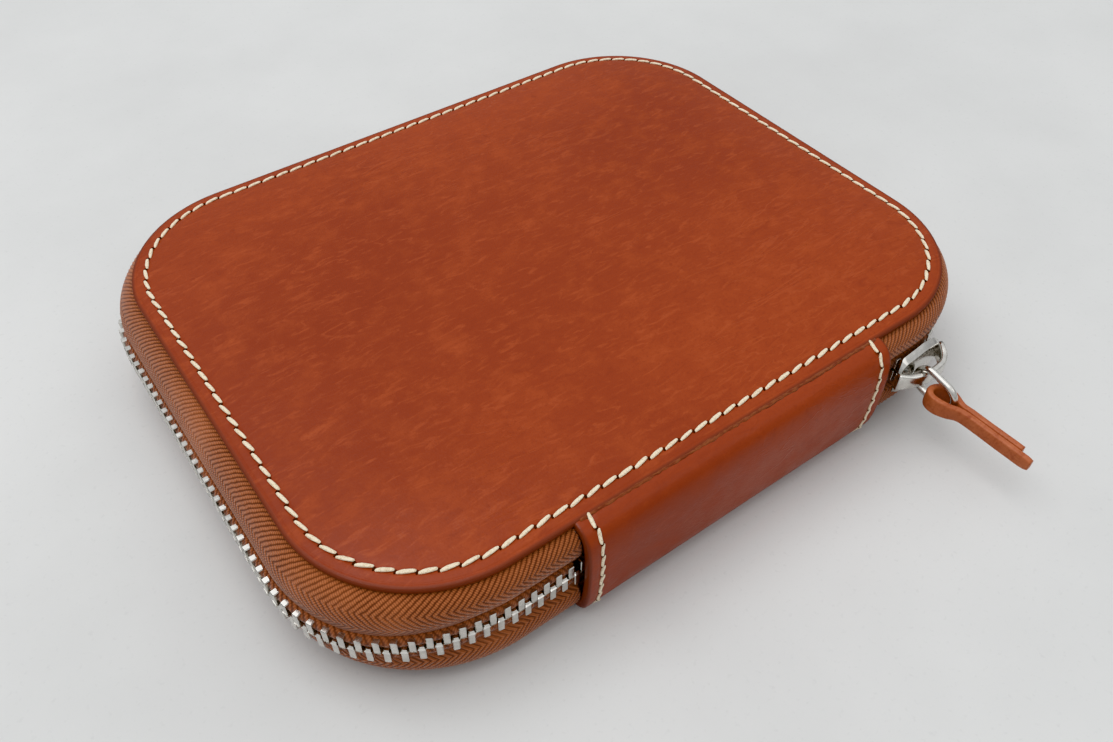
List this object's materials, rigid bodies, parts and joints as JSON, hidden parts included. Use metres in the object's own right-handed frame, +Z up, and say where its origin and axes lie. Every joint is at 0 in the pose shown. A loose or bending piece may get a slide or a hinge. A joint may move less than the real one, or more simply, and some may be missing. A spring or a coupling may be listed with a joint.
{
  "type": "zip around wallet",
  "caption": "Leather organiser wallet with rounded corners, a metal zip round three sides, a hinged leather spine and a leather zip pull.",
  "frame": {"origin": "centre of the wallet's underside, on the surface that it lies on", "axes": "+X along the long side, -Y towards the leather spine, +Z up out of the top panel"},
  "size_m": [0.1532, 0.1528, 0.0271],
  "materials": {
    "outer_leather": "smooth vegetable-tanned leather with a soft gloss and darker burnished edges",
    "lining_leather": "matt undyed lining leather",
    "padding": "bonded fibre board",
    "thread": "waxed cream linen thread",
    "zip_tape": "copper brown herringbone twill",
    "nickel": "polished nickel plate",
    "pull_leather": "smooth leather thong with raw edges"
  },
  "bodies": {
    "base": {"bottom_cover": "outer_leather", "bottom_padding": "padding", "bottom_lining": "lining_leather", "bottom_stitching": "thread", "lower_zip_tape": "zip_tape", "lower_zip_teeth": "nickel", "lower_top_stop": "nickel", "bottom_stop": "nickel", "card_pocket_back": "lining_leather", "card_pocket_middle": "lining_leather", "card_pocket_front": "lining_leather"},
    "spine": {"spine_strip": "outer_leather", "spine_lining": "lining_leather", "spine_stitching_left": "thread", "spine_stitching_right": "thread"},
    "lid": {"top_cover": "outer_leather", "top_padding": "padding", "top_lining": "lining_leather", "top_stitching": "thread", "upper_zip_tape": "zip_tape", "upper_zip_teeth": "nickel", "upper_top_stop": "nickel", "slip_pocket": "lining_leather"},
    "slider": {"slider_front": "nickel", "slider_back": "nickel", "slider_bail": "nickel"},
    "pull_ring": {"pull_ring": "nickel"},
    "pull_tab": {"pull_tab": "pull_leather"}
  },
  "joints": [
    {"name": "spine_hinge", "type": "hinge", "parent": "base", "child": "spine", "pos_m": [0, -0.05915, 0.0007], "axis": [1, 0, 0], "range_deg": [0, 55]},
    {"name": "lid_hinge", "type": "hinge", "parent": "spine", "child": "lid", "pos_m": [0, -0.05915, 0.0253], "axis": [1, 0, 0], "range_deg": [0, 55], "deforming": ["upper_zip_tape", "upper_zip_teeth", "upper_top_stop"]},
    {"name": "slider_travel", "type": "hinge", "parent": "base", "child": "slider", "pos_m": [0.047, -0.032, 0.013], "axis": [0, 0, 1], "range_deg": [0, 80]},
    {"name": "ring_swing", "type": "hinge", "parent": "slider", "child": "pull_ring", "pos_m": [0.048, -0.06408, 0.0135], "axis": [0, 0, 1], "range_deg": [-15, 40]},
    {"name": "tab_swing", "type": "hinge", "parent": "pull_ring", "child": "pull_tab", "pos_m": [0.048, -0.07308, 0.01159], "axis": [0, 0, 1], "range_deg": [-15, 25]}
  ],
  "couplings": [
    {"joint": "spine_hinge", "follows": "lid_hinge", "ratio": 1}
  ]
}
